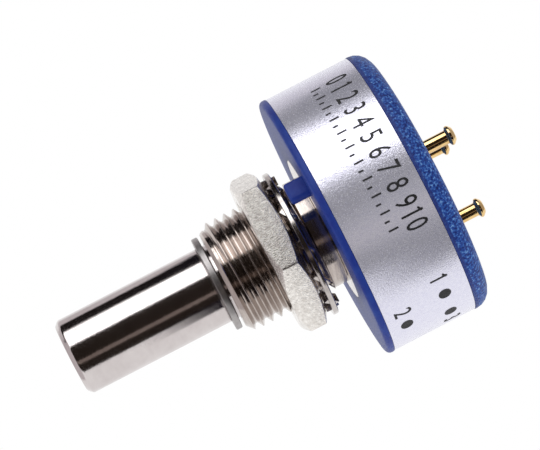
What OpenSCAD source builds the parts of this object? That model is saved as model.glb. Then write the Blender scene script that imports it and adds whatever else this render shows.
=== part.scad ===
// Single-turn panel potentiometer with a threaded bushing, a plain round shaft and turret terminals.
// The shaft runs along Z. The origin is on the mounting face, at the centre of the bushing.
// +Z points out through the panel, and +Y passes through the anti-rotation lug.

/* [Shaft] */
// Diameter of the shaft
shaft_d = 6.35; // [5.6:0.05:6.6]
// Reach of the shaft in front of the mounting face
shaft_reach = 22.2; // [16:0.1:32]
// Chamfer on the tip of the shaft
tip_chamfer = 0.4; // [0.1:0.05:0.8]
// Diameter of the flatted tail that carries the rotor
tail_d = 4.4; // [3.6:0.1:5]
// Width across the two flats of the tail
tail_flats = 3.3; // [2.6:0.1:3.5]

/* [Retaining ring] */
// Outside diameter of the retaining ring
ring_d = 7.95; // [7.4:0.05:8.6]
// Thickness of the retaining ring
ring_t = 0.52; // [0.4:0.02:0.9]
// Depth of its groove in the shaft
ring_groove = 0.4; // [0.25:0.05:0.6]
// Gap between the end of the bushing and the ring
ring_gap = 0.25; // [0.1:0.05:0.6]
// Angle of the opening in the ring
ring_opening = 56; // [30:1:80]
// Direction of that opening about the axis
ring_turn = 248; // [0:1:359]

/* [Bushing] */
// Outside diameter of the bushing's thread
thread_d = 9.3; // [9.2:0.05:10.5]
// Distance from one thread crest to the next
thread_pitch = 0.794; // [0.6:0.01:1.1]
// Depth of the thread
thread_depth = 0.48; // [0.3:0.02:0.6]
// Width of the flat at a thread crest
crest_w = 0.08; // [0.04:0.02:0.16]
// Reach of the bushing in front of the mounting face
bushing_reach = 8.85; // [7.6:0.05:12]
// Length of the lead-in chamfer at the end of the thread
lead_in = 0.6; // [0.3:0.05:0.9]
// Diameter of the end face of the bushing
bushing_end_d = 8; // [7.4:0.1:8.6]
// Diameter of the plain neck behind the thread
neck_d = 9.1; // [8.6:0.05:9.2]
// Length of the plain neck
neck_l = 1.24; // [0.6:0.05:1.6]
// Diameter of the collar that seats in the front face
collar_d = 12.1; // [11.4:0.1:14]
// Thickness of the collar
collar_t = 0.5; // [0.3:0.05:0.8]
// Diameter of the lip swaged over behind the front wall
swage_d = 10.6; // [10:0.1:12]
// Thickness of the swaged lip
swage_t = 0.5; // [0.3:0.05:0.6]

/* [Mounting nut] */
// Width of the nut across its flats
nut_af = 12.25; // [12:0.05:14]
// Thickness of the nut
nut_t = 2.28; // [1.8:0.02:3]
// Distance from the mounting face to the rear face of the nut
nut_z = 2.78; // [2.76:0.01:4]
// Angle of the nut's first corner about the axis
nut_angle = -7.1; // [-30:0.1:30]
// Share of the corners that the front chamfer takes from the front face
nut_front_share = 1.05; // [0.4:0.05:1.2]
// Height of the chamfer on the front corners
nut_front_chamfer = 0.55; // [0.2:0.05:0.8]
// Share of the corners that the rear chamfer takes from the rear face
nut_rear_share = 1.15; // [0.4:0.05:1.2]
// Height of the chamfer on the rear corners
nut_rear_chamfer = 0.45; // [0.2:0.05:0.8]
// Bevel at the mouths of the nut's bore
nut_bore_bevel = 0.3; // [0.1:0.05:0.5]

/* [Lock washer] */
// Outside diameter of the lock washer
washer_d = 12.35; // [12:0.05:13]
// Thickness of the sheet of the lock washer
washer_t = 0.45; // [0.3:0.05:0.6]
// Distance from the mounting face to the middle of the washer's ring
washer_z = 2.1; // [1.7:0.05:2.15]
// Radial width of the washer's ring
washer_band = 0.75; // [0.6:0.05:0.8]
// Radial clearance of the teeth over the thread
washer_gap = 0.3; // [0.25:0.01:0.35]
// Distance that the loose washer hangs off the axis
washer_shift = 0.24; // [0:0.02:0.24]
// Direction of that shift about the axis
washer_side = -22.5; // [-180:0.5:180]
// Number of teeth
tooth_count = 12; // [8:1:14]
// Width of a tooth
tooth_w = 1.45; // [1:0.05:1.6]
// Length of a tooth's root inside the ring
tooth_root = 0.3; // [0.1:0.05:0.5]
// Twist of each tooth out of the ring's plane
tooth_twist = 34; // [15:1:36]

/* [Front housing] */
// Diameter of the body
body_d = 22.2; // [22:0.1:26]
// Length of the body behind the mounting face
body_l = 9.3; // [9:0.05:12]
// Width of the front flange's edge that shows in front of the label
flange_w = 0.58; // [0.45:0.02:0.8]
// Radius on the front edge of the flange
flange_edge = 0.35; // [0.1:0.05:0.4]
// Thickness of the front wall
front_wall = 1.5; // [1.3:0.05:1.8]
// Thickness of the side wall at the seat of the element disc
side_wall = 1.4; // [1:0.05:1.6]
// Width of the ledge that the element disc seats on
ledge_w = 0.4; // [0.25:0.05:0.6]
// Radial length of the stop post
post_l = 1.8; // [1.2:0.1:2]
// Width of the stop post
post_w = 1.4; // [1:0.1:1.8]

/* [Lug] */
// Distance of the lug's outer face from the axis
lug_reach = 8.6; // [8.2:0.1:9.8]
// Radial thickness of the lug
lug_depth = 0.95; // [0.7:0.05:1.2]
// Width of the lug
lug_w = 1.65; // [1:0.05:3]
// Height of the lug above the mounting face
lug_h = 1.62; // [0.8:0.02:2.4]
// Radius on the lug's corners
lug_edge = 0.15; // [0.05:0.05:0.3]

/* [Label band] */
// Thickness of the label, set flush in the housing
label_t = 0.1; // [0.06:0.02:0.16]
// Angle of the seam where the label's ends meet
label_seam = 242; // [200:1:300]
// Width of the seam
seam_w = 0.3; // [0.2:0.05:0.6]

/* [Rear cover] */
// Thickness of the cover's rim
cover_rim = 1.56; // [1.4:0.02:1.8]
// Radius on the cover's rear edge
cover_edge = 1.4; // [0.4:0.05:1.5]
// Length of the spigot that clamps the element disc
spigot_l = 0.58; // [0.4:0.02:0.8]
// Radial thickness of the spigot
spigot_t = 0.28; // [0.2:0.02:0.36]
// Depth of the space for the straps under the element disc
strap_space = 0.2; // [0.18:0.02:0.3]
// Thickness of the cover behind the tail of the shaft
cover_skin = 0.7; // [0.5:0.05:0.9]

/* [Terminals] */
// Diameter of the circle that the terminals stand on
terminal_circle = 8.9; // [8.8:0.1:9.4]
// Angle from the plane through the lug to each end terminal
terminal_spread = 45; // [40:1:60]
// Diameter of a terminal's shank
shank_d = 1.1; // [0.8:0.05:1.2]
// Diameter of a terminal's head
head_d = 1.63; // [1.3:0.01:2]
// Length of a terminal's head
head_l = 0.68; // [0.6:0.02:1]
// Length of the flare from the shank to the head
head_flare = 0.22; // [0.1:0.02:0.26]
// Chamfer on the end of the head
head_chamfer = 0.3; // [0.1:0.02:0.32]
// Reach of a terminal behind the cover
terminal_reach = 2.95; // [2.5:0.05:6]
// Diameter of the flange that locks a terminal in the cover
foot_d = 1.7; // [1.5:0.05:1.9]
// Thickness of that flange
foot_t = 0.4; // [0.3:0.05:0.6]
// Diameter of a terminal's inner tail
inner_d = 0.9; // [0.7:0.05:0.95]

/* [Element] */
// Thickness of the element disc
disc_t = 1; // [0.8:0.05:1.2]
// Thickness of the printed track and collector
layer_t = 0.08; // [0.06:0.01:0.12]
// Width of the board left bare outside the track
track_edge = 1.58; // [1.3:0.02:1.8]
// Width of the bare board between the collector ring and the track
track_space = 0.7; // [0.4:0.05:1]
// Half of the angle between the two ends of the track
track_gap = 8; // [6:0.5:9]
// Width of the collector ring
collector_w = 1.2; // [1:0.05:1.3]
// Distance of the end eyelets outside the track
eyelet_out = 0.55; // [0.45:0.05:0.6]
// Angle from the end of the track to its eyelet
eyelet_angle = 5; // [4:0.5:7]
// Diameter of an eyelet's shank
eyelet_d = 0.56; // [0.4:0.02:0.6]
// Diameter of an eyelet's head
eyelet_head = 0.7; // [0.64:0.02:0.8]
// Height of an eyelet's head
eyelet_head_t = 0.06; // [0.04:0.01:0.08]
// Thickness of the contact straps
strap_t = 0.15; // [0.1:0.01:0.17]
// Width of the contact straps
strap_w = 0.4; // [0.25:0.05:0.6]
// Width of the strap's eye round a terminal's inner tail
strap_eye = 0.35; // [0.25:0.05:0.5]

/* [Rotor] */
// Radial gap round the rotor's flange
hub_gap = 0.6; // [0.4:0.05:1]
// Diameter of the rotor's boss
boss_d = 6; // [5.6:0.05:6.2]
// Thickness of the thrust washer
thrust_t = 0.3; // [0.2:0.02:0.4]
// Diameter of the thrust washer
thrust_d = 10; // [9:0.1:11]
// Thickness of the stop washer
stop_t = 0.6; // [0.4:0.05:0.7]
// Diameter of the stop washer
stop_d = 10.4; // [9.6:0.1:12]
// Gap between the tab's end and the wall of the cavity
tab_gap = 0.45; // [0.3:0.05:0.6]
// Width of the tab on the stop washer
tab_w = 1.2; // [1:0.1:1.4]
// Thickness of the clip on the tail of the shaft
clip_t = 0.4; // [0.3:0.05:0.5]
// Diameter of the clip
clip_d = 5.8; // [5.4:0.05:6]
// Depth of the clip's groove in the tail
clip_groove = 0.2; // [0.1:0.05:0.3]
// Length of the tail behind the clip
tail_stub = 0.35; // [0.2:0.05:0.4]

/* [Wiper] */
// Thickness of the wiper's carrier plate
carrier_t = 0.2; // [0.15:0.01:0.25]
// Width of the carrier plate along the brush fingers
carrier_w = 1.9; // [1.8:0.05:2.2]
// Width of the carrier's eye round the rotor's boss
carrier_eye = 1; // [0.8:0.05:1.2]
// Height of the carrier plate above the element
brush_rise = 0.8; // [0.7:0.05:1]
// Thickness of the brush springs
brush_t = 0.12; // [0.08:0.01:0.14]
// Number of fingers on the track brush
track_fingers = 4; // [2:1:4]
// Number of fingers on the collector brush
collector_fingers = 3; // [2:1:3]
// Width of one brush finger
finger_w = 0.22; // [0.16:0.01:0.25]
// Distance between the middles of two fingers
finger_pitch = 0.32; // [0.3:0.01:0.34]
// Length of the brush fingers
finger_l = 2.5; // [2.2:0.1:2.6]
// Length of the root that joins the fingers
root_l = 1.6; // [1.4:0.05:1.8]
// Radius of the rolled tip of a finger
finger_tip = 0.16; // [0.12:0.01:0.18]
// Diameter of the moulded rivets that hold the carrier
rivet_d = 0.8; // [0.6:0.05:0.9]
// Diameter of the rivets' heads
rivet_head_d = 1.3; // [1.2:0.05:1.4]
// Height of the rivets' heads
rivet_head_t = 0.2; // [0.1:0.02:0.24]
// Distance of the inner rivet from the middle of the collector ring
rivet_in = 1.2; // [1.1:0.05:1.3]
// Distance of the outer rivet from the middle of the collector ring
rivet_out = 0.9; // [0.8:0.05:1]

/* [Clearances] */
// Radial clearance of the shaft in the bushing
bearing_gap = 0.035; // [0.02:0.005:0.05]
// Radial clearance of the nut's bore over the thread
thread_gap = 0.07; // [0.05:0.01:0.15]
// Clearance between fixed pieces that plug together
fit_gap = 0.02; // [0.01:0.01:0.04]
// Clearance between pieces that turn past each other end to end
end_gap = 0.05; // [0.03:0.01:0.1]
// Clearance round moving pieces inside the housing
free_gap = 0.15; // [0.1:0.01:0.2]
// Gap between the brushes and the element
contact_gap = 0.1; // [0.06:0.01:0.12]

/* [Hidden] */
$fn = 96;
cut = 1;
thread_flank = 30;
wedge_steps = 12;

nickel = "#b9b2a8";
steel = "#a3a19e";
dark_steel = "#6f747b";
gold = "#d9a53a";
blue = "#28419c";
rough_blue = "#2a56a8";
foil = "#cfcdd6";
phenolic = "#6b4a2f";
carbon = "#1f1f22";

// radii, from the axis outwards
shaft_r = shaft_d / 2;
bore_r = shaft_r + bearing_gap;
groove_r = shaft_r - ring_groove;
thread_r = thread_d / 2;
body_r = body_d / 2;
wall_r = body_r - label_t;
seat_r = wall_r - side_wall;
cavity_r = seat_r - ledge_w;
post_r = cavity_r - post_l;
boss_r = boss_d / 2;
disc_hole_r = boss_r + 2 * free_gap;
terminal_r = terminal_circle / 2;
hub_r = cavity_r - hub_gap;
track_out_r = seat_r - fit_gap - track_edge;
track_in_r = terminal_r + collector_w / 2 + track_space;
track_r = (track_out_r + track_in_r) / 2;
eyelet_r = track_out_r + eyelet_out;

// levels behind the mounting face, from the front
plate_z = -front_wall;
swage_z = plate_z - swage_t;
thrust_z = swage_z - end_gap;
shoulder_z = thrust_z - thrust_t;
stop_z = shoulder_z - stop_t;
post_z = stop_z - free_gap;
hub_z = post_z - free_gap;

// levels tied to the rear cover
rear_z = -body_l;
joint_z = rear_z + cover_rim;
disc_back_z = joint_z + spigot_l;
disc_z = disc_back_z + disc_t;
layer_z = disc_z + layer_t;
carrier_z = layer_z + brush_rise;
hub_back_z = carrier_z + carrier_t;
floor_z = disc_back_z - strap_space;
boss_end_z = disc_back_z + 2 * free_gap;
clip_z = boss_end_z - fit_gap - clip_t;
tail_end_z = clip_z - tail_stub;

// angles of the three terminals and of the two ends of the track
terminal_angles = [-90 + terminal_spread, 90, -90 - terminal_spread];
eyelet_angles = [-90 + track_gap + eyelet_angle, -90 - track_gap - eyelet_angle];

// A cylinder between two levels.
module rod(r, z0, z1) {
    translate([0, 0, min(z0, z1)])
        cylinder(r = r, h = abs(z1 - z0));
}

// A ring between two levels.
module collar(r_out, r_in, z0, z1) {
    difference() {
        rod(r_out, z0, z1);
        rod(r_in, min(z0, z1) - cut, max(z0, z1) + cut);
    }
}

// A flat shape raised between two levels.
module slab(z0, z1) {
    translate([0, 0, min(z0, z1)])
        linear_extrude(abs(z1 - z0))
            children();
}

// The outline of a wedge from the axis, centred on an angle.
module wedge(middle, half_angle, reach) {
    polygon(concat([[0, 0]], [for (i = [0:wedge_steps])
        let (angle = middle - half_angle + 2 * half_angle * i / wedge_steps)
        [reach * cos(angle), reach * sin(angle)]]));
}

// A round bar along Z whose rim is rounded at the level z1.
module rounded_puck(r, z0, z1, edge) {
    depth = abs(z1 - z0);
    translate([0, 0, z0])
        mirror([0, 0, z1 < z0 ? 1 : 0])
            rotate_extrude() {
                square([r - edge, depth]);
                square([r, depth - edge]);
                translate([r - edge, depth - edge])
                    intersection() {
                        circle(edge);
                        square(edge);
                    }
            }
}

// The outline of a rectangle with rounded corners, centred on the origin.
module rounded_outline(length, width, edge) {
    square([length - 2 * edge, width], center = true);
    square([length, width - 2 * edge], center = true);
    for (x = [-1, 1])
        for (y = [-1, 1])
            translate([x * (length / 2 - edge), y * (width / 2 - edge)])
                circle(edge);
}

// The outline of the shaft's tail: a round with two flats.
module tail_outline(gap) {
    intersection() {
        circle(tail_d / 2 + gap);
        square([tail_d + 2 * cut, tail_flats + 2 * gap], center = true);
    }
}

// The thread is cut as rings, one for each pitch, so that it keeps true cones.
module thread_grooves() {
    groove_w = thread_pitch - crest_w;
    root_w = groove_w - 2 * thread_depth * tan(thread_flank);
    rotate_extrude()
        for (z = [neck_l + groove_w / 2 : thread_pitch : bushing_reach - lead_in - groove_w / 2])
            polygon([[thread_r, z - groove_w / 2], [thread_r - thread_depth, z - root_w / 2],
                     [thread_r - thread_depth, z + root_w / 2], [thread_r, z + groove_w / 2],
                     [thread_r + cut, z + groove_w / 2], [thread_r + cut, z - groove_w / 2]]);
}

module mounting_bushing() {
    color(nickel)
        difference() {
            union() {
                rod(thread_r, neck_l, bushing_reach - lead_in);
                translate([0, 0, bushing_reach - lead_in])
                    cylinder(r1 = thread_r, r2 = bushing_end_d / 2, h = lead_in);
                rod(neck_d / 2, plate_z, neck_l);
                rod(collar_d / 2, -collar_t, 0);
                rod(swage_d / 2, swage_z, plate_z);
            }
            thread_grooves();
            rod(bore_r, swage_z - cut, bushing_reach + cut);
        }
}

// The blank is a hexagonal bar, chamfered by a cone on each face.
module mounting_nut() {
    corner_r = nut_af / sqrt(3);
    bore = thread_r + thread_gap;
    mouth = bore + nut_bore_bevel;
    front_face_r = corner_r - (corner_r - nut_af / 2) * nut_front_share;
    rear_face_r = corner_r - (corner_r - nut_af / 2) * nut_rear_share;
    front_slope = (corner_r - front_face_r) / nut_front_chamfer;
    rear_slope = (corner_r - rear_face_r) / nut_rear_chamfer;
    color(nickel)
        translate([0, 0, nut_z])
            difference() {
                intersection() {
                    rotate([0, 0, nut_angle])
                        cylinder(r = corner_r, h = nut_t, $fn = 6);
                    cylinder(r1 = front_face_r + front_slope * nut_t, r2 = front_face_r, h = nut_t);
                    cylinder(r1 = rear_face_r, r2 = rear_face_r + rear_slope * nut_t, h = nut_t);
                }
                rod(bore, -cut, nut_t + cut);
                translate([0, 0, nut_t - nut_bore_bevel])
                    cylinder(r1 = bore, r2 = mouth + cut, h = nut_bore_bevel + cut);
                translate([0, 0, -cut])
                    cylinder(r1 = mouth + cut, r2 = bore, h = nut_bore_bevel + cut);
            }
}

// Each tooth is sheared from the ring and twisted about its own radius.
module lock_washer() {
    ring_r = washer_d / 2 - washer_band;
    bore = thread_r + washer_gap;
    color(steel)
        translate([washer_shift * cos(washer_side), washer_shift * sin(washer_side), washer_z]) {
            collar(washer_d / 2, ring_r, -washer_t / 2, washer_t / 2);
            intersection() {
                for (i = [0:tooth_count - 1])
                    rotate([tooth_twist, 0, 360 * i / tooth_count])
                        translate([bore, -tooth_w / 2, -washer_t / 2])
                            cube([ring_r + tooth_root - bore, tooth_w, washer_t]);
                collar(ring_r + tooth_root, bore, -cut, cut);
            }
        }
}

// The lug is rounded on its sides and on its top.
module lug() {
    height = flange_w + lug_h;
    middle = lug_reach - lug_depth / 2;
    intersection() {
        translate([0, middle, -flange_w])
            linear_extrude(height)
                rounded_outline(lug_w, lug_depth, lug_edge);
        translate([0, lug_reach + cut, lug_h - height])
            rotate([90, 0, 0])
                linear_extrude(lug_depth + 2 * cut)
                    rounded_outline(lug_w, 2 * height, lug_edge);
        translate([-lug_w, middle, lug_h - height])
            rotate([90, 0, 90])
                linear_extrude(2 * lug_w)
                    rounded_outline(lug_depth, 2 * height, lug_edge);
    }
}

module front_housing() {
    color(blue)
        difference() {
            union() {
                rounded_puck(body_r, -flange_w, 0, flange_edge);
                rod(wall_r, joint_z, -flange_w);
                lug();
            }
            difference() {
                rod(cavity_r, joint_z - cut, plate_z);
                translate([-post_w / 2, -cavity_r - cut, post_z])
                    cube([post_w, cavity_r + cut - post_r, plate_z - post_z + cut]);
            }
            rod(seat_r, joint_z - cut, disc_z);
            rod(neck_d / 2 + fit_gap, plate_z - cut, cut);
            rod(collar_d / 2 + fit_gap, -collar_t, cut);
        }
}

module rear_cover() {
    spigot_r = seat_r - fit_gap;
    color(rough_blue)
        difference() {
            union() {
                rounded_puck(body_r, joint_z, rear_z, cover_edge);
                rod(spigot_r, joint_z, disc_back_z);
            }
            rod(spigot_r - spigot_t, floor_z, disc_back_z + cut);
            rod(disc_hole_r, rear_z + cover_skin, floor_z + cut);
            for (angle = terminal_angles)
                rotate([0, 0, angle])
                    translate([terminal_r, 0, 0]) {
                        rod(shank_d / 2 + fit_gap, rear_z - cut, floor_z + cut);
                        rod(foot_d / 2 + fit_gap, floor_z - foot_t, floor_z + cut);
                    }
        }
}

module label_band() {
    color(foil)
        difference() {
            collar(body_r, wall_r, joint_z, -flange_w);
            rotate([0, 0, label_seam])
                translate([wall_r - cut, -seam_w / 2, joint_z - cut])
                    cube([label_t + 2 * cut, seam_w, body_l]);
        }
}

// A turned turret terminal whose inner tail ends at the level inner_z.
module terminal(angle, inner_z) {
    tip_z = rear_z - terminal_reach;
    color(gold)
        rotate([0, 0, angle])
            translate([terminal_r, 0, 0]) {
                rod(inner_d / 2, floor_z, inner_z);
                rod(foot_d / 2, floor_z - foot_t, floor_z);
                rod(shank_d / 2, tip_z + head_l, floor_z - foot_t);
                translate([0, 0, tip_z + head_l - head_flare])
                    cylinder(r1 = head_d / 2, r2 = shank_d / 2, h = head_flare);
                rod(head_d / 2, tip_z + head_chamfer, tip_z + head_l - head_flare);
                translate([0, 0, tip_z])
                    cylinder(r1 = head_d / 2 - head_chamfer, r2 = head_d / 2, h = head_chamfer);
            }
}

module element_disc() {
    color(phenolic)
        difference() {
            rod(seat_r - fit_gap, disc_back_z, disc_z);
            rod(disc_hole_r, disc_back_z - cut, disc_z + cut);
            rotate([0, 0, terminal_angles[1]])
                translate([terminal_r, 0, 0])
                    rod(inner_d / 2 + fit_gap, disc_back_z - cut, disc_z + cut);
            for (angle = eyelet_angles)
                rotate([0, 0, angle])
                    translate([eyelet_r, 0, 0])
                        rod(eyelet_d / 2 + fit_gap, disc_back_z - cut, disc_z + cut);
        }
}

// The printed track, with a pad at each end that reaches out to its eyelet.
module resistive_track() {
    pad_half = eyelet_angle;
    pad_r = eyelet_r + eyelet_head / 2;
    color(carbon)
        difference() {
            slab(disc_z, layer_z)
                difference() {
                    union() {
                        circle(track_out_r);
                        for (angle = eyelet_angles)
                            intersection() {
                                circle(pad_r);
                                wedge(angle, pad_half, 2 * pad_r);
                            }
                    }
                    circle(track_in_r);
                    wedge(-90, track_gap, 2 * pad_r);
                }
            for (angle = eyelet_angles)
                rotate([0, 0, angle])
                    translate([eyelet_r, 0, 0])
                        rod(eyelet_d / 2 + fit_gap, disc_z - cut, layer_z + cut);
        }
}

module collector_ring() {
    color(gold)
        difference() {
            collar(terminal_r + collector_w / 2, terminal_r - collector_w / 2, disc_z, layer_z);
            rotate([0, 0, terminal_angles[1]])
                translate([terminal_r, 0, 0])
                    rod(inner_d / 2 + fit_gap, disc_z - cut, layer_z + cut);
        }
}

// A strap under the element disc, from an end eyelet to a terminal's inner tail.
module contact_strap(eyelet_at, terminal_at) {
    from = eyelet_r * [cos(eyelet_at), sin(eyelet_at)];
    to = terminal_r * [cos(terminal_at), sin(terminal_at)];
    run = to - from;
    color(gold)
        slab(disc_back_z - strap_t, disc_back_z)
            difference() {
                union() {
                    translate(from)
                        circle(eyelet_head / 2);
                    translate(to)
                        circle(inner_d / 2 + strap_eye);
                    translate(from)
                        rotate(atan2(run[1], run[0]))
                            translate([0, -strap_w / 2])
                                square([norm(run), strap_w]);
                }
                translate(from)
                    circle(eyelet_d / 2 + fit_gap);
                translate(to)
                    circle(inner_d / 2 + fit_gap);
            }
}

module end_eyelet(angle) {
    color(gold)
        rotate([0, 0, angle])
            translate([eyelet_r, 0, 0]) {
                rod(eyelet_d / 2, disc_back_z - strap_t, layer_z);
                rod(eyelet_head / 2, layer_z, layer_z + eyelet_head_t);
            }
}

module shaft() {
    groove_z = bushing_reach + ring_gap;
    color(steel)
        difference() {
            union() {
                rod(shaft_r, shoulder_z, shaft_reach - tip_chamfer);
                translate([0, 0, shaft_reach - tip_chamfer])
                    cylinder(r1 = shaft_r, r2 = shaft_r - tip_chamfer, h = tip_chamfer);
                slab(tail_end_z, shoulder_z)
                    tail_outline(0);
            }
            collar(shaft_r + cut, groove_r, groove_z - fit_gap, groove_z + ring_t + fit_gap);
            collar(shaft_r + cut, tail_flats / 2 - clip_groove, clip_z - fit_gap, clip_z + clip_t + fit_gap);
        }
}

// The ring is sprung into its groove from the side, so it is open at the back.
module retaining_ring() {
    color(dark_steel)
        slab(bushing_reach + ring_gap, bushing_reach + ring_gap + ring_t)
            difference() {
                circle(ring_d / 2);
                circle(groove_r + fit_gap);
                wedge(ring_turn, ring_opening / 2, ring_d);
            }
}

module thrust_washer() {
    color("ivory")
        collar(thrust_d / 2, shaft_r + bearing_gap, shoulder_z, thrust_z);
}

// The tab meets the stop post of the housing at both ends of the travel.
module stop_washer() {
    tab_reach = cavity_r - tab_gap;
    color(steel)
        slab(stop_z, shoulder_z)
            difference() {
                union() {
                    circle(stop_d / 2);
                    translate([-tab_w / 2, 0])
                        square([tab_w, tab_reach]);
                }
                tail_outline(fit_gap);
            }
}

// Places what stands on each moulded rivet of the rotor.
module at_rivets() {
    for (reach = [terminal_r - rivet_in, terminal_r + rivet_out])
        translate([finger_l + root_l / 2, reach, 0])
            children();
}

module rotor_hub() {
    color("#2b2b2e") {
        difference() {
            union() {
                rod(boss_r, stop_z, boss_end_z);
                rod(hub_r, hub_z, hub_back_z);
            }
            slab(boss_end_z - cut, stop_z + cut)
                tail_outline(fit_gap);
        }
        at_rivets() {
            rod(rivet_d / 2, hub_back_z, carrier_z - brush_t);
            rod(rivet_head_d / 2, carrier_z - brush_t, carrier_z - brush_t - rivet_head_t);
        }
    }
}

// The outline of the plate that carries the two brushes.
module carrier_outline() {
    intersection() {
        circle(hub_r);
        translate([finger_l + (root_l - carrier_w) / 2, 0])
            square([carrier_w, hub_r]);
    }
}

module wiper_carrier() {
    color(gold)
        difference() {
            slab(carrier_z, hub_back_z)
                difference() {
                    union() {
                        circle(boss_r + carrier_eye);
                        carrier_outline();
                    }
                    circle(boss_r + fit_gap);
                }
            at_rivets()
                rod(rivet_d / 2 + fit_gap, carrier_z - cut, hub_back_z + cut);
        }
}

// A comb of sprung fingers. The tips meet the element on the plane through the lug.
module brush(middle, count) {
    root_z = carrier_z - brush_t;
    tip_z = layer_z + contact_gap + finger_tip;
    comb_w = (count - 1) * finger_pitch + finger_w;
    difference() {
        union() {
            slab(root_z, carrier_z)
                intersection() {
                    circle(cavity_r - free_gap);
                    translate([finger_l, middle - comb_w / 2])
                        square([root_l, comb_w]);
                }
            for (i = [0:count - 1])
                translate([0, middle - comb_w / 2 + i * finger_pitch + finger_w, 0])
                    rotate([90, 0, 0])
                        linear_extrude(finger_w) {
                            polygon([[0, tip_z + finger_tip / 2],
                                     [finger_tip / 2, tip_z - finger_tip / 2],
                                     [finger_l + brush_t, root_z],
                                     [finger_l + brush_t, carrier_z]]);
                            translate([0, tip_z])
                                circle(finger_tip);
                        }
        }
        at_rivets()
            rod(rivet_d / 2 + fit_gap, root_z - cut, carrier_z + cut);
    }
}

module track_brush() {
    color(gold)
        brush(track_r, track_fingers);
}

module collector_brush() {
    color(gold)
        brush(terminal_r, collector_fingers);
}

module tail_clip() {
    seat = tail_flats / 2 - clip_groove;
    color(dark_steel)
        slab(clip_z, clip_z + clip_t)
            difference() {
                circle(clip_d / 2);
                circle(seat + fit_gap);
                translate([0, -seat])
                    square([clip_d, 2 * seat]);
            }
}

mounting_bushing();
mounting_nut();
lock_washer();
front_housing();
rear_cover();
label_band();
terminal(terminal_angles[0], disc_back_z);  // terminal_1
terminal(terminal_angles[1], layer_z);  // terminal_2
terminal(terminal_angles[2], disc_back_z);  // terminal_3
element_disc();
resistive_track();
collector_ring();
contact_strap(eyelet_angles[0], terminal_angles[0]);  // contact_strap_1
contact_strap(eyelet_angles[1], terminal_angles[2]);  // contact_strap_3
end_eyelet(eyelet_angles[0]);  // end_eyelet_1
end_eyelet(eyelet_angles[1]);  // end_eyelet_3
shaft();
retaining_ring();
thrust_washer();
stop_washer();
rotor_hub();
wiper_carrier();
track_brush();
collector_brush();
tail_clip();
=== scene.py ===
"""Looks of a single-turn panel potentiometer: moulded blue housing, foil label, nickel bushing, gold posts."""

import math

import bmesh
import bpy
from mathutils import Matrix, Vector


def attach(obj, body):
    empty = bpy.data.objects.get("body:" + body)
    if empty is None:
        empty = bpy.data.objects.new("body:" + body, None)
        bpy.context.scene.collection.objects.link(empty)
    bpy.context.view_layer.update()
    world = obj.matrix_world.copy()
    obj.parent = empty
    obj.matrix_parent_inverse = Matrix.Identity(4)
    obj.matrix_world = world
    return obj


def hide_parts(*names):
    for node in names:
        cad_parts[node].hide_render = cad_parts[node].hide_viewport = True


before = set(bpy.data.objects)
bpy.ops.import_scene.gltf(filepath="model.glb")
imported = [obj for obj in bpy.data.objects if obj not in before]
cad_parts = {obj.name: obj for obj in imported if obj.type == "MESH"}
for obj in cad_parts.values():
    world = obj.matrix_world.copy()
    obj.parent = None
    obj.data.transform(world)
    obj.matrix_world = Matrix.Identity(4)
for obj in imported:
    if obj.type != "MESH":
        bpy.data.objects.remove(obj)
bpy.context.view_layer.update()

MM = 0.001
TAU = 2 * math.pi
# The photograph looks at the part from this much round the axis, measured from the lug
PHOTO_TURN = math.radians(22.5)
STEPS = 180

# Sizes in mm that follow the CAD pieces. Levels are along the shaft, from the mounting face
SHAFT_R = 3.175
SHAFT_L = 22.2
TIP_CHAMFER = 0.4
SHOULDER_Z = -2.35
TAIL_R, TAIL_FLAT, TAIL_END_Z = 2.2, 1.65, -7.63
CLIP_Z, CLIP_T, CLIP_SEAT_R = -7.28, 0.4, 1.45
RING_Z, RING_T = 9.1, 0.52
RING_R, RING_SEAT_R = 3.975, 2.795
RING_TURN, RING_OPENING = math.radians(248), math.radians(56)
BORE_R = 3.21
THREAD_R = 4.65
ROOT_R = 4.17
PITCH = 0.79375
CREST_ROUND, ROOT_ROUND = 0.07, 0.137
THREAD_START = 0.489
NECK_R = 4.55
NECK_L = 1.24
BUSHING_L = 8.85
BUSHING_END_R = 4.0
LEAD_IN = 0.6
COLLAR_R, COLLAR_T = 6.05, 0.5
SWAGE_R, SWAGE_Z = 5.3, -2.0
NUT_Z, NUT_T = 2.78, 2.28
NUT_FLAT, NUT_TURN = 6.125, math.radians(-7.1)
NUT_BORE_R, NUT_MOUTH = 4.72, 0.3
NUT_FRONT, NUT_REAR = (1.05, 0.55), (1.15, 0.45)
WASHER_R, WASHER_BAND, WASHER_T, WASHER_Z = 6.175, 0.75, 0.45, 2.1
WASHER_BORE_R, WASHER_SHIFT, WASHER_SIDE = 4.95, 0.24, math.radians(-22.5)
TOOTH_W, TOOTH_TWIST, TOOTH_COUNT = 1.45, math.radians(34), 12
BODY_R = 11.1
REAR_Z = -9.3
JOINT_Z = -7.74
FLANGE_W = 0.58
WALL_R, SEAT_R, CAVITY_R = 11.0, 9.6, 9.2
WALL_Z = -1.5
POST_R, POST_W, POST_Z = 7.4, 1.4, -3.1
DISC_BACK_Z, DISC_Z, LAYER_Z = -7.16, -6.16, -6.08
FLOOR_Z = -7.36
LUG_R, LUG_DEPTH, LUG_W, LUG_H = 8.6, 0.95, 1.65, 1.62
LABEL_R = 11.06
LABEL_SEAM, SEAM_W = math.radians(242), 0.3
TERMINAL_R = 4.45
SHANK_R, HEAD_R, FOOT_R, INNER_R = 0.55, 0.815, 0.85, 0.45
TIP_Z, HEAD_L, HEAD_FLARE, HEAD_CHAMFER = -12.25, 0.62, 0.12, 0.3


# ---------------------------------------------------------------- materials

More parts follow.
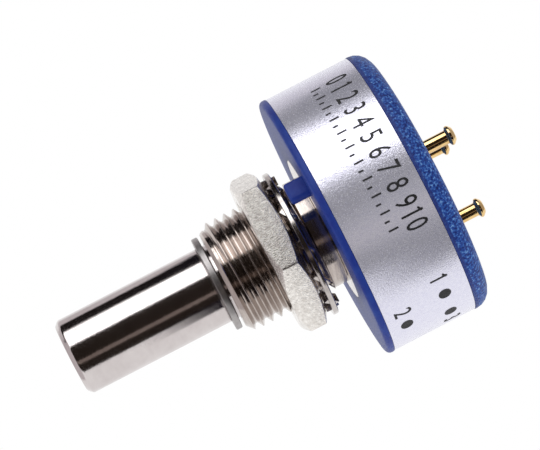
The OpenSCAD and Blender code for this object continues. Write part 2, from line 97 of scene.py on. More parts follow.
def colour(hex_code):
    """A linear colour from an sRGB hex code."""
    parts = [int(hex_code[i:i + 2], 16) / 255 for i in (1, 3, 5)]
    return [p / 12.92 if p <= 0.04045 else ((p + 0.055) / 1.055) ** 2.4 for p in parts] + [1.0]


def add(tree, kind, settings=None, values=None, links=None):
    """Adds a node: its own settings, the values of its sockets, and what feeds them."""
    made = tree.nodes.new(kind)
    for name, value in (settings or {}).items():
        setattr(made, name, value)
    for name, value in (values or {}).items():
        made.inputs[name].default_value = value
    for name, source in (links or {}).items():
        tree.links.new(source, made.inputs[name])
    return made


def blank_material(name):
    """An empty node tree with its output and the coordinates of the object in mm."""
    material = bpy.data.materials.new(name)
    material.use_nodes = True
    tree = material.node_tree
    tree.nodes.clear()
    place = add(tree, "ShaderNodeTexCoord")
    millimetres = add(tree, "ShaderNodeMapping", values={"Scale": (1000, 1000, 1000)},
                      links={"Vector": place.outputs["Object"]})
    return material, tree, millimetres.outputs["Vector"]


def close_material(tree, shader):
    add(tree, "ShaderNodeOutputMaterial", links={"Surface": shader.outputs[0]})


def grain(tree, where, size, depth, stretch=(1, 1, 1), detail=2.0, normal=None):
    """A bump of irregular grain. size and depth are in mm, and stretch lengthens the grain along an axis."""
    spread = add(tree, "ShaderNodeMapping", values={"Scale": tuple(1 / s for s in stretch)},
                 links={"Vector": where})
    field = add(tree, "ShaderNodeTexNoise", values={"Scale": 1 / size, "Detail": detail, "Roughness": 0.55},
                links={"Vector": spread.outputs["Vector"]})
    links = {"Height": field.outputs["Fac"]}
    if normal:
        links["Normal"] = normal
    bump = add(tree, "ShaderNodeBump", values={"Strength": 1.0, "Distance": depth * MM}, links=links)
    return bump.outputs["Normal"], field.outputs["Fac"]


def mottle(tree, where, size, stops, stretch=(1, 1, 1), detail=3.0):
    """A colour that wanders between stops of (position, hex code) over patches of a size in mm."""
    spread = add(tree, "ShaderNodeMapping", values={"Scale": tuple(1 / s for s in stretch)},
                 links={"Vector": where})
    field = add(tree, "ShaderNodeTexNoise", values={"Scale": 1 / size, "Detail": detail, "Roughness": 0.6},
                links={"Vector": spread.outputs["Vector"]})
    ramp = add(tree, "ShaderNodeValToRGB", links={"Fac": field.outputs["Fac"]})
    band = ramp.color_ramp
    band.elements[0].position, band.elements[0].color = stops[0][0], colour(stops[0][1])
    band.elements[1].position, band.elements[1].color = stops[-1][0], colour(stops[-1][1])
    for position, code in stops[1:-1]:
        band.elements.new(position).color = colour(code)
    return ramp.outputs["Color"]


def varied(tree, field, low, high):
    """A number that follows a noise field between low and high."""
    spread = add(tree, "ShaderNodeMapRange",
                 values={"From Min": 0.35, "From Max": 0.65, "To Min": low, "To Max": high},
                 links={"Value": field})
    return spread.outputs["Result"]


def plated_metal(name, tones, rough, grain_size, grain_depth, stretch=(1, 1, 1), patch=0.4):
    """A plated or bare metal: tones are its two colours, rough its lowest and highest roughness."""
    material, tree, where = blank_material(name)
    normal, field = grain(tree, where, grain_size, grain_depth, stretch)
    tone = mottle(tree, where, patch, [(0.35, tones[0]), (0.65, tones[1])], stretch)
    shader = add(tree, "ShaderNodeBsdfPrincipled", values={"Metallic": 1.0},
                 links={"Base Color": tone, "Roughness": varied(tree, field, *rough), "Normal": normal})
    close_material(tree, shader)
    return material


def moulded_plastic(name, tones, rough, grain_size, grain_depth, patch=1.2, gloss=0.5):
    """A moulded thermoset or thermoplastic with its skin's fine grain."""
    material, tree, where = blank_material(name)
    normal, field = grain(tree, where, grain_size, grain_depth)
    tone = mottle(tree, where, patch, [(0.3, tones[0]), (0.7, tones[1])])
    shader = add(tree, "ShaderNodeBsdfPrincipled", values={"IOR": 1.5, "Specular IOR Level": gloss},
                 links={"Base Color": tone, "Roughness": varied(tree, field, *rough), "Normal": normal})
    close_material(tree, shader)
    return material


# Nickel plate over turned brass: warm grey, mirror-like, with the tool's fine rings round the axis
turned_nickel = plated_metal("nickel_on_turned_brass", ("#aea39d", "#c4bab4"), (0.10, 0.2),
                             0.07, 0.0018, (6, 6, 1))
# Nickel plate on the ground shaft: bright, with short grinding marks that sparkle in the dark band
ground_nickel = plated_metal("nickel_on_ground_steel", ("#c9c1c0", "#d3cccb"), (0.09, 0.15),
                             0.07, 0.0055, (2, 2, 1), patch=2.0)
# Nickel plate on a barrel-finished nut: a sparkling, tumbled grain that spreads the light
tumbled_nickel = plated_metal("nickel_on_tumbled_brass", ("#e0dad4", "#faf6f1"), (0.12, 0.2),
                              0.085, 0.042, patch=0.3)
# Nickel plate on stamped spring steel: bright, slightly wavy from the press
stamped_nickel = plated_metal("nickel_on_stamped_steel", ("#b4adaa", "#c8c1bd"), (0.12, 0.2),
                              0.12, 0.0012, patch=1.5)
# Oil-blackened spring steel: dark neutral grey, satin
dark_spring = plated_metal("blackened_spring_steel", ("#989494", "#aeaaa9"), (0.32, 0.44),
                           0.09, 0.006, patch=1.0)
# Hard gold plate on turned brass: deep yellow, nearly a mirror
gold_plate = plated_metal("gold_on_turned_brass", ("#e4be80", "#f2d49c"), (0.07, 0.13),
                          0.06, 0.0008, (4, 4, 1), patch=1.0)
# Phosphor bronze strip: reddish, rolled lengthwise
rolled_bronze = plated_metal("rolled_phosphor_bronze", ("#c08a55", "#d8a670"), (0.2, 0.32),
                             0.1, 0.002, (5, 1, 1))
# Satin blue moulding: a fine eroded mould skin with faint flow marks
satin_blue = moulded_plastic("satin_blue_moulding", ("#1a2f8c", "#25449c"), (0.36, 0.5),
                             0.14, 0.006, gloss=0.18)
# Black moulded rotor: glass-filled, so slightly dull and streaked
black_moulding = moulded_plastic("glass_filled_black", ("#1b1b1d", "#2c2c30"), (0.38, 0.55), 0.15, 0.004)
# Washer of slippery white plastic
slip_plastic = moulded_plastic("white_slip_plastic", ("#e6e4dc", "#f0eee8"), (0.35, 0.5), 0.2, 0.003)
# Paper laminate under the track: brown, with its fibres just visible
paper_laminate = moulded_plastic("paper_laminate", ("#6a4526", "#8a5f38"), (0.4, 0.6), 0.3, 0.004, 0.6)
# Conductive plastic ink: black and very smooth
carbon_ink = moulded_plastic("conductive_ink", ("#17171a", "#232328"), (0.2, 0.3), 0.1, 0.001)


def textured_blue_moulding():
    """Spark-eroded blue moulding: a coarse matt skin whose high spots catch the light."""
    material, tree, where = blank_material("spark_eroded_blue_moulding")
    coarse, _ = grain(tree, where, 0.36, 0.05, detail=3.0)
    fine, specks = grain(tree, where, 0.15, 0.03, normal=coarse)
    tone = mottle(tree, where, 0.2, [(0.38, "#0e2670"), (0.49, "#1d47a0"), (0.58, "#3468ba"), (0.68, "#7cabe4")])
    # Painted shade: the colour darkens towards the joint, standing in for the shade on the rounded edge there
    level = add(tree, "ShaderNodeSeparateXYZ", links={"Vector": where})
    painted_shade_by_joint = add(tree, "ShaderNodeMapRange",
               values={"From Min": JOINT_Z - 0.34, "From Max": JOINT_Z - 0.2, "To Min": 0.0, "To Max": 0.8},
               links={"Value": level.outputs["Z"]})
    both = add(tree, "ShaderNodeMix", {"data_type": 'RGBA'}, {"B": colour("#26367f")},
               {"Factor": painted_shade_by_joint.outputs["Result"], "A": tone})
    shader = add(tree, "ShaderNodeBsdfPrincipled", values={"IOR": 1.5, "Specular IOR Level": 0.25},
                 links={"Base Color": both.outputs["Result"], "Roughness": varied(tree, specks, 0.42, 0.62),
                        "Normal": fine})
    close_material(tree, shader)
    return material


def satin_foil():
    """Metallised polyester film: half matt, half silver, leaning to lavender, with a fine sparkle."""
    material, tree, where = blank_material("metallised_polyester_film")
    normal, field = grain(tree, where, 0.1, 0.014)
    tone = mottle(tree, where, 0.2, [(0.3, "#e1e0f3"), (0.7, "#f0effc")])
    shader = add(tree, "ShaderNodeBsdfPrincipled",
                 values={"Metallic": 0.6, "Coat Weight": 0.1, "Coat Roughness": 0.3},
                 links={"Base Color": tone, "Roughness": varied(tree, field, 0.19, 0.28), "Normal": normal})
    close_material(tree, shader)
    return material


textured_blue = textured_blue_moulding()
foil = satin_foil()
# Pad-printed marking ink: matt black, thin over the foil's grain
marking_ink = moulded_plastic("marking_ink", ("#141416", "#26262b"), (0.5, 0.7), 0.1, 0.002, 0.3)


# ---------------------------------------------------------------- mesh tools

def turned(outline, sweep=TAU):
    """A closed outline of (radius, level[, rounding]) corners in mm, turned about the axis."""
    bm = bmesh.new()
    corners = [bm.verts.new((point[0], 0, point[1])) for point in outline]
    bm.faces.new(corners)
    for corner, point in zip(corners, outline):
        if len(point) > 2:
            bmesh.ops.bevel(bm, geom=[corner], offset=point[2], offset_type='OFFSET', segments=5,
                            profile=0.5, material=-1, affect='VERTICES')
    whole = sweep > TAU - 0.001
    if whole:
        bmesh.ops.delete(bm, geom=bm.faces[:], context='FACES_ONLY')
        on_axis = [e for e in bm.edges if all(abs(v.co.x) < 0.001 for v in e.verts)]
        bmesh.ops.delete(bm, geom=on_axis, context='EDGES')
    bmesh.ops.spin(bm, geom=bm.verts[:] + bm.edges[:] + bm.faces[:], cent=(0, 0, 0), axis=(0, 0, 1),
                   dvec=(0, 0, 0), angle=sweep, steps=round(STEPS * sweep / TAU), use_merge=whole)
    bmesh.ops.remove_doubles(bm, verts=bm.verts[:], dist=0.001)
    bmesh.ops.recalc_face_normals(bm, faces=bm.faces[:])
    return bm


def block(low, high, edge, segments=3):
    """A block between two corners, with rounded edges."""
    bm = bmesh.new()
    bmesh.ops.create_cube(bm, size=1)
    size = [b - a for a, b in zip(low, high)]
    bmesh.ops.scale(bm, vec=size, verts=bm.verts[:])
    bmesh.ops.translate(bm, vec=[(a + b) / 2 for a, b in zip(low, high)], verts=bm.verts[:])
    if edge:
        bmesh.ops.bevel(bm, geom=bm.edges[:], offset=edge, offset_type='OFFSET', segments=segments,
                        profile=0.5, material=-1, affect='EDGES')
    return bm


def turn_about_axis(bm, angle):
    bmesh.ops.rotate(bm, cent=(0, 0, 0), matrix=Matrix.Rotation(angle, 3, 'Z'), verts=bm.verts[:])


def grow_ring(bm, edges, shape):
    """Extrudes a ring of edges, and moves each new point to the (radius, level) that shape gives for its angle."""
    made = bmesh.ops.extrude_edge_only(bm, edges=edges)["geom"]
    for point in (v for v in made if isinstance(v, bmesh.types.BMVert)):
        angle = math.atan2(point.co.y, point.co.x)
        radius, level = shape(angle) if callable(shape) else shape
        point.co = (radius * math.cos(angle), radius * math.sin(angle), level)
    return [e for e in made if isinstance(e, bmesh.types.BMEdge)]


def joined(*parts):
    """One bmesh that holds several."""
    whole = parts[0]
    for part in parts[1:]:
        spare = bpy.data.meshes.new("spare")
        part.to_mesh(spare)
        part.free()
        whole.from_mesh(spare)
        bpy.data.meshes.remove(spare)
    return whole


def finish_piece(bm, name, body, material, replaces=(), sharp=33):
    """Turns a bmesh in mm into a piece in metres that rides on a body."""
    bmesh.ops.scale(bm, vec=(MM, MM, MM), verts=bm.verts[:])
    mesh = bpy.data.meshes.new(name)
    bm.to_mesh(mesh)
    bm.free()
    mesh.shade_smooth()
    mesh.set_sharp_from_angle(angle=math.radians(sharp))
    mesh.materials.append(material)
    piece = bpy.data.objects.new(name, mesh)
    bpy.context.scene.collection.objects.link(piece)
    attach(piece, body)
    if replaces:
        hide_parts(*replaces)
    return piece


# ---------------------------------------------------------------- pieces

def drop(rounding, lean):
    """How far an arc has left its top where the surface leans by so many degrees."""
    return rounding * (1 - math.cos(math.radians(lean)))


def reach(rounding, lean):
    """How far along the axis that place of the arc is from its middle."""
    return rounding * math.sin(math.radians(lean))


def threaded_bushing():
    """The bushing with its real thread: a screw sheet, trimmed at both ends, then carried on as a turned form."""
    bm = bmesh.new()
    first = THREAD_START - 1.5 * PITCH
    form = [(ROOT_R + drop(ROOT_ROUND, lean), reach(ROOT_ROUND, lean)) for lean in (0, 20, 40, 60)]
    form += [(THREAD_R - drop(CREST_ROUND, lean), PITCH / 2 + reach(CREST_ROUND, lean))
             for lean in (-60, -40, -20, 0, 20, 40, 60)]
    form += [(ROOT_R + drop(ROOT_ROUND, lean), PITCH - reach(ROOT_ROUND, lean)) for lean in (60, 40, 20, 0)]
    points = [bm.verts.new((radius, 0, first + level)) for radius, level in form]
    for one, two in zip(points, points[1:]):
        bm.edges.new((one, two))
    turns = 13
    bmesh.ops.spin(bm, geom=bm.verts[:] + bm.edges[:], cent=(0, 0, 0), axis=(0, 0, 1),
                   dvec=(0, 0, PITCH / 96), angle=TAU * turns, steps=96 * turns)
    bmesh.ops.remove_doubles(bm, verts=bm.verts[:], dist=0.002)
    for level, side in ((NECK_L, -1), (BUSHING_L, 1)):
        bmesh.ops.bisect_plane(bm, geom=bm.verts[:] + bm.edges[:] + bm.faces[:], dist=0.0001,
                               plane_co=(0, 0, level), plane_no=(0, 0, side), clear_outer=True)
    slope = (THREAD_R - BUSHING_END_R) / LEAD_IN
    for point in bm.verts:
        radius = math.hypot(point.co.x, point.co.y)
        limit = BUSHING_END_R + (BUSHING_L - point.co.z) * slope
        if radius > limit:
            point.co.x *= limit / radius
            point.co.y *= limit / radius
    ends = {}
    for level in (NECK_L, BUSHING_L):
        ends[level] = [e for e in bm.edges if e.is_boundary and all(abs(v.co.z - level) < 0.001 for v in e.verts)]
    front = ends[BUSHING_L]
    for radius, level in ((BUSHING_END_R - 0.06, BUSHING_L), (BORE_R + 0.1, BUSHING_L), (BORE_R, BUSHING_L - 0.1)):
        front = grow_ring(bm, front, (radius, level))
    back = ends[NECK_L]
    for radius, level in ((NECK_R, NECK_L), (NECK_R, NECK_L - 0.02), (NECK_R, 0.04), (NECK_R + 0.04, 0),
                          (COLLAR_R - 0.05, 0), (COLLAR_R, -0.05), (COLLAR_R, -COLLAR_T), (NECK_R, -COLLAR_T),
                          (NECK_R, WALL_Z), (SWAGE_R, WALL_Z), (SWAGE_R, SWAGE_Z + 0.05),
                          (SWAGE_R - 0.1, SWAGE_Z), (BORE_R + 0.1, SWAGE_Z), (BORE_R, SWAGE_Z + 0.1)):
        back = grow_ring(bm, back, (radius, level))
    bmesh.ops.bridge_loops(bm, edges=front + back)
    bmesh.ops.recalc_face_normals(bm, faces=bm.faces[:])
    return bm


finish_piece(threaded_bushing(), "bushing_with_thread", "housing", turned_nickel,
             ["mounting_bushing"], sharp=25)


def hexagon(angle):
    """Distance from the axis to the nut's flats, at an angle round it."""
    return NUT_FLAT / math.cos((angle - NUT_TURN) % (math.pi / 3) - math.pi / 6)


def nut_blank():
    """The nut: rings grown from its bore over both chamfered faces, with the corners and chamfers eased."""
    corner = NUT_FLAT / math.cos(math.pi / 6)
    top = NUT_Z + NUT_T
    share, depth = NUT_FRONT
    front_r = corner - (corner - NUT_FLAT) * share
    front_slope = depth / (corner - front_r)
    share, depth = NUT_REAR
    rear_r = corner - (corner - NUT_FLAT) * share
    rear_slope = depth / (corner - rear_r)
    bm = bmesh.new()
    bmesh.ops.create_circle(bm, segments=240, radius=NUT_BORE_R)
    turn_about_axis(bm, NUT_TURN)
    bmesh.ops.translate(bm, vec=(0, 0, top - NUT_MOUTH), verts=bm.verts[:])
    first = ring = bm.edges[:]
    for shape in ((NUT_BORE_R + NUT_MOUTH, top), (front_r, top),
                  lambda angle: (hexagon(angle), top - (hexagon(angle) - front_r) * front_slope),
                  lambda angle: (hexagon(angle), NUT_Z + (hexagon(angle) - rear_r) * rear_slope),
                  (rear_r, NUT_Z), (NUT_BORE_R + NUT_MOUTH, NUT_Z), (NUT_BORE_R, NUT_Z + NUT_MOUTH)):
        ring = grow_ring(bm, ring, shape)
    bmesh.ops.bridge_loops(bm, edges=first + ring)
    bmesh.ops.recalc_face_normals(bm, faces=bm.faces[:])
    for width, upright in ((0.09, True), (0.045, False)):
        outer = [e for e in bm.edges if e.calc_face_angle(0) > 0.3
                 and all(v.co.xy.length > NUT_FLAT - 0.02 for v in e.verts)
                 and (abs(e.verts[0].co.z - e.verts[1].co.z) > 0.5) == upright]
        bmesh.ops.bevel(bm, geom=outer, offset=width, offset_type='OFFSET', segments=3, profile=0.5,
                        material=-1, affect='EDGES')
    return bm


hexagon_nut = finish_piece(nut_blank(), "hexagon_nut", "fastening", tumbled_nickel,
                           ["mounting_nut"], sharp=25)


def toothed_washer():
    """The lock washer: a stamped ring with twelve twisted teeth, hanging loose on the thread."""
    half = WASHER_T / 2
    inner = WASHER_R - WASHER_BAND
    parts = [turned([(WASHER_R, half, 0.09), (WASHER_R, -half, 0.09), (inner, -half, 0.03), (inner, half, 0.03)])]
    for number in range(TOOTH_COUNT):
        tooth = block((WASHER_BORE_R, -TOOTH_W / 2, -half), (inner + 0.3, TOOTH_W / 2, half), 0.04, 2)
        bmesh.ops.rotate(tooth, cent=(0, 0, 0), matrix=Matrix.Rotation(TOOTH_TWIST, 3, 'X'), verts=tooth.verts[:])
        turn_about_axis(tooth, TAU * number / TOOTH_COUNT)
        parts.append(tooth)
    whole = joined(*parts)
    hang = (WASHER_SHIFT * math.cos(WASHER_SIDE), WASHER_SHIFT * math.sin(WASHER_SIDE), WASHER_Z)
    bmesh.ops.translate(whole, vec=hang, verts=whole.verts[:])
    return whole


finish_piece(toothed_washer(), "toothed_washer", "fastening", stamped_nickel, ["lock_washer"])


def ground_shaft():
    """The plain round shaft with the groove of its ring, and the flatted tail that carries the rotor."""
    front = turned([(0, SHAFT_L), (SHAFT_R - TIP_CHAMFER, SHAFT_L, 0.1), (SHAFT_R, SHAFT_L - TIP_CHAMFER, 0.12),
                    (SHAFT_R, RING_Z + RING_T + 0.02, 0.03), (RING_SEAT_R - 0.02, RING_Z + RING_T + 0.02),
                    (RING_SEAT_R - 0.02, RING_Z - 0.02), (SHAFT_R, RING_Z - 0.02, 0.03),
                    (SHAFT_R, SHOULDER_Z, 0.08), (0, SHOULDER_Z)])
    tail = turned([(0, SHOULDER_Z + 0.1), (TAIL_R, SHOULDER_Z + 0.1), (TAIL_R, CLIP_Z + CLIP_T + 0.02),
                   (CLIP_SEAT_R, CLIP_Z + CLIP_T + 0.02), (CLIP_SEAT_R, CLIP_Z - 0.02), (TAIL_R, CLIP_Z - 0.02),
                   (TAIL_R, TAIL_END_Z, 0.15), (0, TAIL_END_Z)])
    for side in (-1, 1):
        bmesh.ops.bisect_plane(tail, geom=tail.verts[:] + tail.edges[:] + tail.faces[:], dist=0.0001,
                               plane_co=(0, side * TAIL_FLAT, 0), plane_no=(0, side, 0), clear_outer=True)
        bmesh.ops.holes_fill(tail, edges=[e for e in tail.edges if e.is_boundary], sides=0)
    bmesh.ops.recalc_face_normals(tail, faces=tail.faces[:])
    return joined(front, tail)


finish_piece(ground_shaft(), "plain_round_shaft", "rotor", ground_nickel, ["shaft"], sharp=30)


def sprung_ring():
    """The retaining ring: an open ring of square spring wire with eased edges."""
    top = RING_Z + RING_T
    ring = turned([(RING_R, top, 0.1), (RING_R, RING_Z, 0.1), (RING_SEAT_R, RING_Z, 0.03), (RING_SEAT_R, top, 0.03)],
                  TAU - RING_OPENING)
    turn_about_axis(ring, RING_TURN + RING_OPENING / 2)
    return ring


finish_piece(sprung_ring(), "sprung_ring", "rotor", dark_spring, ["retaining_ring"])


def front_moulding():
    """The front housing: its flange, wall and seat turned in one, with the lug and the stop post."""
    shell = turned([(NECK_R + 0.02, -COLLAR_T), (COLLAR_R + 0.02, -COLLAR_T), (COLLAR_R + 0.02, 0, 0.05),
                    (BODY_R, 0, 0.35), (BODY_R, -FLANGE_W, 0.05), (WALL_R, -FLANGE_W), (WALL_R, JOINT_Z),
                    (SEAT_R, JOINT_Z), (SEAT_R, DISC_Z), (CAVITY_R, DISC_Z), (CAVITY_R, WALL_Z, 0.2),
                    (NECK_R + 0.02, WALL_Z)])
    lug = block((-LUG_W / 2, LUG_R - LUG_DEPTH, -0.3), (LUG_W / 2, LUG_R, LUG_H), 0.26, 5)
    post = block((-POST_W / 2, -CAVITY_R - 0.1, POST_Z), (POST_W / 2, -POST_R, WALL_Z + 0.1), 0.1)
    return joined(shell, lug, post)


finish_piece(front_moulding(), "front_moulding", "housing", satin_blue, ["front_housing"])

# The rear cover, with the spigot that clamps the element and the room for the tail of the shaft
finish_piece(turned([(0, REAR_Z), (BODY_R, REAR_Z, 1.4), (BODY_R, JOINT_Z, 0.05), (SEAT_R - 0.02, JOINT_Z),
                     (SEAT_R - 0.02, DISC_BACK_Z), (SEAT_R - 0.3, DISC_BACK_Z), (SEAT_R - 0.3, FLOOR_Z),
                     (3.3, FLOOR_Z), (3.3, REAR_Z + 0.7), (0, REAR_Z + 0.7)]),
             "rear_moulding", "housing", textured_blue, ["rear_cover"])


def wrapped_label():
    """The foil label: a thin band in the housing's recess, whose ends leave a narrow seam at the back."""
    gap = SEAM_W / BODY_R
    band = turned([(LABEL_R, -FLANGE_W - 0.03, 0.02), (LABEL_R, JOINT_Z + 0.03, 0.02), (WALL_R, JOINT_Z + 0.03),
                   (WALL_R, -FLANGE_W - 0.03)], TAU - gap)
    turn_about_axis(band, LABEL_SEAM + gap / 2)
    return band


foil_band = finish_piece(wrapped_label(), "wrapped_label", "housing", foil, ["label_band"])


def turret(angle, inner_z):
    """A turned terminal: foot and tail inside the cover, then the shank and its flared, chamfered head."""
    post = turned([(0, inner_z), (INNER_R, inner_z, 0.05), (INNER_R, FLOOR_Z), (FOOT_R, FLOOR_Z, 0.05),
                   (FOOT_R, FLOOR_Z - 0.4, 0.05), (SHANK_R, FLOOR_Z - 0.4), (SHANK_R, TIP_Z + HEAD_L, 0.08),
                   (HEAD_R, TIP_Z + HEAD_L - HEAD_FLARE, 0.1), (HEAD_R, TIP_Z + HEAD_CHAMFER, 0.08),
                   (HEAD_R - HEAD_CHAMFER, TIP_Z, 0.1), (0, TIP_Z)])
    bmesh.ops.translate(post, vec=(TERMINAL_R, 0, 0), verts=post.verts[:])
    turn_about_axis(post, math.radians(angle))
    return post


for number, angle, inner_z in ((1, -45, DISC_BACK_Z), (2, 90, LAYER_Z), (3, -135, DISC_BACK_Z)):
    finish_piece(turret(angle, inner_z), f"turret_terminal_{number}", "housing", gold_plate,
                 [f"terminal_{number}"], sharp=40)


def glyph(text, height, squeeze):
    """A printed sign, flat in mm, narrowed by a share: its foot is on Y = 0 and its middle on X = 0."""
    curve = bpy.data.curves.new("glyph", 'FONT')
    curve.body = text
    curve.extrude = 0.008
    curve.offset = 0.0
    curve.resolution_u = 4
    source = bpy.data.objects.new("glyph", curve)
    bpy.context.scene.collection.objects.link(source)
    bpy.context.view_layer.update()
    mesh = bpy.data.meshes.new_from_object(source)
    bpy.data.objects.remove(source)
    bm = bmesh.new()
    bm.from_mesh(mesh)
    bpy.data.meshes.remove(mesh)
    bmesh.ops.remove_doubles(bm, verts=bm.verts[:], dist=0.0001)
    low = [min(v.co[i] for v in bm.verts) for i in (0, 1)]
    high = [max(v.co[i] for v in bm.verts) for i in (0, 1)]
    bmesh.ops.translate(bm, vec=(-(low[0] + high[0]) / 2, -low[1], 0), verts=bm.verts[:])
    size = height / (high[1] - low[1])
    bmesh.ops.scale(bm, vec=(size * squeeze, size, 1), verts=bm.verts[:])
    if text != "1":
        return bm
    # The typeface's 1 is a bare stroke, so it gets its flag
    flag = block((-0.42, -0.17, -0.008), (0, 0, 0.008), 0)
    bmesh.ops.rotate(flag, cent=(0, 0, 0), matrix=Matrix.Rotation(math.radians(38), 3, 'Z'), verts=flag.verts[:])
    bmesh.ops.translate(flag, vec=(0.03, height - 0.02, 0), verts=flag.verts[:])
    return joined(bm, flag)


def print_on_label(bm, along, level):
    """Wraps flat print round the label. along is mm from the side that the photograph faces, tops to the rear."""
    for point in bm.verts:
        turn = math.pi / 2 - PHOTO_TURN - (along + point.co.x) / BODY_R
        radius = LABEL_R + 0.014 + point.co.z
        point.co = (radius * math.cos(turn), radius * math.sin(turn), level - point.co.y)
    bmesh.ops.recalc_face_normals(bm, faces=bm.faces[:])
    return bm


def spot(radius):
    bm = bmesh.new()
    bmesh.ops.create_cone(bm, cap_ends=True, segments=32, radius1=radius, radius2=radius, depth=0.016)
    return bm


def label_marks():
    """Plain numbers 0 to 10 over the ticks of a scale, and the numbers of the terminals with their dots."""
    marks = []
    first, last = -11.4, 3.1
    for number in range(11):
        along = first + (last - first) * number / 10
        for place, sign in enumerate(str(number)):
            shift = (place - (len(str(number)) - 1) / 2) * 0.9
            marks.append(print_on_label(glyph(sign, 1.8, 0.62), along + shift, -5.05))
    for number in range(21):
        along = first + (last - first) * number / 20
        tick = block((-0.07, 0, -0.008), (0.07, 0.42 if number % 2 else 0.8, 0.008), 0)
        marks.append(print_on_label(tick, along, -3.75))
    for sign, along, level in (("1", 8.75, -4.94), ("3", 15.4, -4.94), ("2", 10.35, -1.4)):
        marks.append(print_on_label(glyph(sign, 1.45, 0.75), along, level))
    for along, level in ((10.63, -5.68), (13.55, -5.66), (12.05, -2.1)):
        marks.append(print_on_label(spot(0.52), along, level))
    return joined(*marks)


finish_piece(label_marks(), "label_marks", "housing", marking_ink)

# Every node of the CAD part keeps its mesh unless a piece above stands for it
kept = {
    "mounting_nut": tumbled_nickel, "lock_washer": stamped_nickel, "front_housing": satin_blue,
    "rear_cover": textured_blue, "label_band": foil, "terminal_1": gold_plate, "terminal_2": gold_plate,
    "terminal_3": gold_plate, "element_disc": paper_laminate, "resistive_track": carbon_ink,
    "collector_ring": gold_plate, "contact_strap_1": rolled_bronze, "contact_strap_3": rolled_bronze,
    "end_eyelet_1": gold_plate, "end_eyelet_3": gold_plate, "shaft": ground_nickel,
    "retaining_ring": dark_spring, "thrust_washer": slip_plastic, "stop_washer": stamped_nickel,
    "rotor_hub": black_moulding, "wiper_carrier": rolled_bronze, "track_brush": gold_plate,
    "collector_brush": gold_plate, "tail_clip": dark_spring, "mounting_bushing": turned_nickel,
}
for node_name, material in kept.items():
    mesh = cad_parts[node_name].data
    mesh.materials.clear()
    mesh.materials.append(material)

# ---------------------------------------------------------------- studio

def photo_point(photo_angle, distance, level):
    """A point at an angle round the axis as the photograph shows it: 0 is its lower side, 90 is nearest."""
    turn = math.radians(photo_angle) - PHOTO_TURN
    return Vector((distance * math.cos(turn), distance * math.sin(turn), level)) * MM


def soft_box(name, photo_angle, distance, level, width, length, power, gloss=True, matt=True):
    """A soft box that faces the part. width is round the axis and length along it, in mm.
    gloss and matt say which kind of surface it lights."""
    light = bpy.data.lights.new(name, 'AREA')
    light.shape = 'RECTANGLE'
    light.size, light.size_y = width * MM, length * MM
    light.energy = power
    lamp = bpy.data.objects.new(name, light)
    bpy.context.scene.collection.objects.link(lamp)
    lamp.location = photo_point(photo_angle, distance, level)
    forward = -lamp.location.normalized()
    side = forward.cross(Vector((0, 0, 1))).normalized()
    lamp.matrix_world = Matrix.Translation(lamp.location) @ Matrix(
        (side, -forward.cross(side), -forward)).transposed().to_4x4()
    lamp.visible_camera = False
    lamp.visible_glossy, lamp.visible_diffuse = gloss, matt
    return lamp


def stage_card(bm, name, tone):
    """A card that only gloss can see: it gives metal its dark and grey bands."""
    material, tree, _ = blank_material(name)
    close_material(tree, add(tree, "ShaderNodeEmission", values={"Color": colour(tone), "Strength": 1.0}))
    mesh = bpy.data.meshes.new(name)
    bm.to_mesh(mesh)
    bm.free()
    mesh.materials.append(material)
    card = bpy.data.objects.new(name, mesh)
    bpy.context.scene.collection.objects.link(card)
    card.visible_camera = card.visible_diffuse = card.visible_shadow = card.visible_transmission = False


def curved_card(name, tone, photo_from, photo_to, distance, low, high):
    """A card curved round the part, between two angles and two levels."""
    bm = bmesh.new()
    ends = [bm.verts.new(photo_point(photo_from, distance, level)) for level in (low, high)]
    bm.edges.new(ends)
    bmesh.ops.spin(bm, geom=bm.verts[:] + bm.edges[:], cent=(0, 0, 0), axis=(0, 0, 1), dvec=(0, 0, 0),
                   angle=math.radians(photo_to - photo_from), steps=24)
    stage_card(bm, name, tone)


def round_card(name, tone, radius, level):
    """A round card across the axis."""
    bm = bmesh.new()
    bmesh.ops.create_circle(bm, cap_ends=True, segments=64, radius=radius * MM)
    bmesh.ops.translate(bm, vec=(0, 0, level * MM), verts=bm.verts[:])
    stage_card(bm, name, tone)


key = soft_box("key_for_gloss", 143, 300, 0, 260, 420, 0.55, matt=False)
soft_box("key_for_matt", 143, 300, 0, 260, 420, 0.12, gloss=False)
soft_box("fill_for_matt", -20, 300, -20, 260, 420, 0.12, gloss=False)


def light_only(lamp, piece, state):
    """Keeps a lamp off one piece ('EXCLUDE') or on it alone ('INCLUDE')."""
    receivers = bpy.data.collections.new(f"receivers_of_{lamp.name}")
    receivers.objects.link(piece)
    receivers.collection_objects[0].light_linking.link_state = state
    lamp.light_linking.receiver_collection = receivers


# A flag keeps the key off the nut, which then shows its grain as mid grey
light_only(key, hexagon_nut, 'EXCLUDE')
# A low light from beside the camera lifts the middle of the foil to mid grey
light_only(soft_box("lift_for_foil", 71, 228, -20, 220, 300, 0.039, matt=False), foil_band, 'INCLUDE')
curved_card("card_by_camera", "#29231f", 36, 120, 240, -520, 520)
curved_card("card_opening", "#857973", 62, 72, 236, -300, 300)
curved_card("card_above", "#1d1918", 171, 203, 240, -520, 520)
curved_card("frame_of_key", "#8d888a", 157.5, 159.5, 240, -400, 400)
curved_card("card_beyond", "#d8d3d5", 203, 232, 240, -400, 400)
curved_card("card_low_behind_label", "#18121c", 14, 42, 236, -420, -3)
curved_card("card_high_behind_label", "#151218", 168, 212, 236, -420, -3)
round_card("card_before_tip", "#d2ccce", 460, 560)
round_card("card_behind_posts", "#b4aeb0", 330, -560)

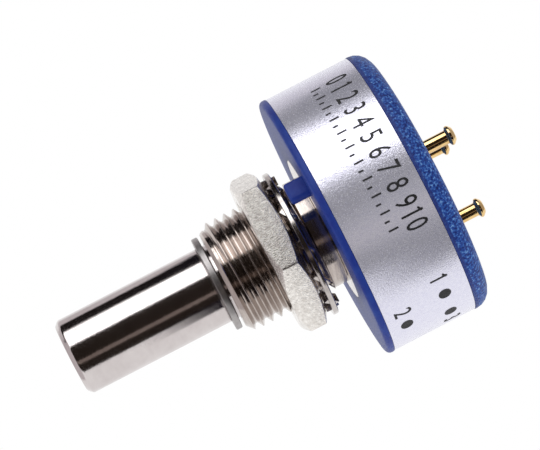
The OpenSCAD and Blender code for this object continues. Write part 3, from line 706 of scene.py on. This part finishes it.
world = bpy.data.worlds.new("white_cove")
bpy.context.scene.world = world
world.use_nodes = True
tree = world.node_tree
tree.nodes.clear()
ray = add(tree, "ShaderNodeLightPath")
seen = add(tree, "ShaderNodeMath", {"operation": 'MAXIMUM'},
           links={0: ray.outputs["Is Camera Ray"], 1: ray.outputs["Is Glossy Ray"]})
seen = add(tree, "ShaderNodeMath", {"operation": 'MAXIMUM'},
           links={0: seen.outputs[0], 1: ray.outputs["Is Transmission Ray"]})
ambient = add(tree, "ShaderNodeBackground", values={"Color": (1, 1, 1, 1), "Strength": 0.72})
white = add(tree, "ShaderNodeBackground", values={"Color": (1, 1, 1, 1), "Strength": 1.0})
mixed = add(tree, "ShaderNodeMixShader", links={0: seen.outputs[0], 1: ambient.outputs[0], 2: white.outputs[0]})
add(tree, "ShaderNodeOutputWorld", links={"Surface": mixed.outputs[0]})

# A white table under the posts, clear of the photograph's view
bm = bmesh.new()
bmesh.ops.create_circle(bm, cap_ends=True, segments=96, radius=0.055)
bmesh.ops.translate(bm, vec=(0, 0, -0.048), verts=bm.verts[:])
mesh = bpy.data.meshes.new("table")
bm.to_mesh(mesh)
bm.free()
mesh.materials.append(moulded_plastic("white_table", ("#f4f4f4", "#fbfbfb"), (0.8, 0.9), 1.0, 0.01))
table = bpy.data.objects.new("table", mesh)
bpy.context.scene.collection.objects.link(table)
table.is_shadow_catcher = True
table.visible_glossy = False

# The camera as it was fitted to the photograph, in the photograph's own axes round the part
CAMERA_PLACE = (12.9898, 250.0, 13.7751)
VIEW_RIGHT = (0.46048, 0.00846, -0.88763)
VIEW_DOWN = (0.8856, -0.07253, 0.45874)
FOCAL_PIXELS = 3187.92
IMAGE_WIDTH = 540

turn_back = Matrix.Rotation(-PHOTO_TURN, 3, 'Z')
right = turn_back @ Vector(VIEW_RIGHT)
down = turn_back @ Vector(VIEW_DOWN)
lens = bpy.data.cameras.new("camera")
lens.sensor_fit = 'HORIZONTAL'
lens.sensor_width = 36
lens.lens = FOCAL_PIXELS * lens.sensor_width / IMAGE_WIDTH
lens.clip_start = 0.01
camera = bpy.data.objects.new("camera", lens)
bpy.context.scene.collection.objects.link(camera)
camera.matrix_world = Matrix.Translation(turn_back @ Vector(CAMERA_PLACE) * MM) @ Matrix(
    (right, -down, -right.cross(down))).transposed().to_4x4()
bpy.context.scene.camera = camera
bpy.context.scene.view_settings.view_transform = 'Standard'
